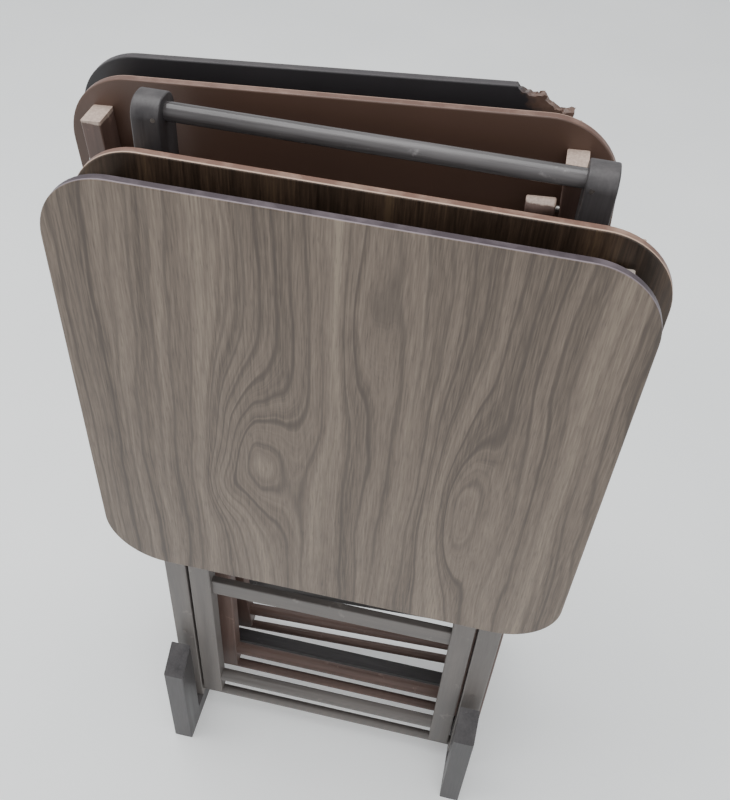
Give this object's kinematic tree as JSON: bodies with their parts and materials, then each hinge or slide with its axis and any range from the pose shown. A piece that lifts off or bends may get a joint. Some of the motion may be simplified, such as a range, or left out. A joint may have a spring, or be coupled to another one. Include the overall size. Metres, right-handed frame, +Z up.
{
  "type": "tray table set on stand",
  "caption": "Folding tray tables with rounded laminate tops and scissor legs, kept folded on a wooden stand with a round carrying rail.",
  "frame": {"origin": "on the floor, at the middle of the whole set's overall box", "axes": "+Z up; -Y towards the front, where table 1's laminate face looks; +X to the right seen from the front"},
  "size_m": [0.5392, 0.262, 0.8679],
  "materials": {
    "laminate_grey": "grey-brown wood-grain laminate, satin",
    "laminate_brown": "dark walnut wood-grain laminate, satin",
    "board_brown": "brown painted board, satin",
    "board_black": "near-black painted board, satin",
    "paint_grey": "grey painted wood, satin",
    "stain_brown": "brown stained wood, satin",
    "paint_black": "near-black painted wood, satin",
    "stand_grey": "dark grey painted wood, satin",
    "bolt_steel": "plated steel"
  },
  "bodies": {
    "stand": {"post_left": "stand_grey", "post_right": "stand_grey", "foot_left": "stand_grey", "foot_right": "stand_grey", "top_rail": "stand_grey", "lower_rail": "stand_grey", "rail_pins": "bolt_steel"},
    "table_1_outer_frame": {"table_1_outer_leg_left": "paint_grey", "table_1_outer_leg_right": "paint_grey", "table_1_outer_stretcher": "paint_grey", "table_1_pivot_bolts": "bolt_steel"},
    "table_1_inner_frame": {"table_1_inner_leg_left": "paint_grey", "table_1_inner_leg_right": "paint_grey", "table_1_middle_stretcher": "paint_grey", "table_1_lower_stretcher": "paint_grey", "table_1_catch_dowel": "paint_grey"},
    "table_1_tray": {"table_1_top": "laminate_grey", "table_1_cleat_left": "paint_grey", "table_1_cleat_right": "paint_grey", "table_1_catches": "paint_grey"},
    "table_2": {"table_2_outer_leg_left": "stain_brown", "table_2_outer_leg_right": "stain_brown", "table_2_outer_stretcher": "stain_brown", "table_2_pivot_bolts": "bolt_steel", "table_2_inner_leg_left": "stain_brown", "table_2_inner_leg_right": "stain_brown", "table_2_middle_stretcher": "stain_brown", "table_2_lower_stretcher": "stain_brown", "table_2_catch_dowel": "stain_brown", "table_2_top": "laminate_brown", "table_2_cleat_left": "stain_brown", "table_2_cleat_right": "stain_brown", "table_2_catches": "stain_brown"},
    "table_3": {"table_3_outer_leg_left": "stain_brown", "table_3_outer_leg_right": "stain_brown", "table_3_outer_stretcher": "stain_brown", "table_3_pivot_bolts": "bolt_steel", "table_3_inner_leg_left": "stain_brown", "table_3_inner_leg_right": "stain_brown", "table_3_middle_stretcher": "stain_brown", "table_3_lower_stretcher": "stain_brown", "table_3_catch_dowel": "stain_brown", "table_3_top": "board_brown", "table_3_cleat_left": "stain_brown", "table_3_cleat_right": "stain_brown", "table_3_catches": "stain_brown"},
    "table_4_outer_frame": {"table_4_outer_leg_left": "paint_black", "table_4_outer_leg_right": "paint_black", "table_4_outer_stretcher": "paint_black", "table_4_pivot_bolts": "bolt_steel"},
    "table_4_inner_frame": {"table_4_inner_leg_left": "paint_black", "table_4_inner_leg_right": "paint_black", "table_4_middle_stretcher": "paint_black", "table_4_lower_stretcher": "paint_black", "table_4_catch_dowel": "paint_black"},
    "table_4_tray": {"table_4_top": "board_black", "table_4_cleat_left": "paint_black", "table_4_cleat_right": "paint_black", "table_4_catches": "paint_black"}
  },
  "joints": [
    {"name": "table_1_lift_off", "type": "slide", "parent": "stand", "child": "table_1_outer_frame", "axis": [0, -0.0995, 0.995], "range_m": [0, 1]},
    {"name": "table_1_leg_spread", "type": "hinge", "parent": "table_1_outer_frame", "child": "table_1_inner_frame", "pos_m": [0.02059, -0.072, 0.411], "axis": [1, 0, 0], "range_deg": [0, 15.51]},
    {"name": "table_1_top_swing", "type": "hinge", "parent": "table_1_outer_frame", "child": "table_1_tray", "pos_m": [0.02059, -0.072, 0.771], "axis": [-1, 0, 0], "range_deg": [0, 124.05]},
    {"name": "table_4_lift_off", "type": "slide", "parent": "stand", "child": "table_4_outer_frame", "axis": [0, 0.0995, 0.995], "range_m": [0, 1]},
    {"name": "table_4_leg_spread", "type": "hinge", "parent": "table_4_outer_frame", "child": "table_4_inner_frame", "pos_m": [-0.00027, 0.072, 0.42495], "axis": [-0.9969, 0, -0.0785], "range_deg": [0, 15.51]},
    {"name": "table_4_top_swing", "type": "hinge", "parent": "table_4_outer_frame", "child": "table_4_tray", "pos_m": [-0.02851, 0.072, 0.78384], "axis": [0.9969, 0, 0.0785], "range_deg": [0, 124.05]},
    {"name": "table_2_lift", "type": "slide", "parent": "stand", "child": "table_2", "axis": [0, 0, 1], "range_m": [0, 0.85]},
    {"name": "table_3_lift", "type": "slide", "parent": "stand", "child": "table_3", "axis": [0, 0, 1], "range_m": [0, 0.85]}
  ],
  "couplings": [
    {"joint": "table_1_leg_spread", "follows": "table_1_lift_off", "rad_per_m": 0.27053},
    {"joint": "table_1_top_swing", "follows": "table_1_lift_off", "rad_per_m": 2.1642},
    {"joint": "table_4_leg_spread", "follows": "table_4_lift_off", "rad_per_m": 0.27053},
    {"joint": "table_4_top_swing", "follows": "table_4_lift_off", "rad_per_m": 2.1642}
  ]
}
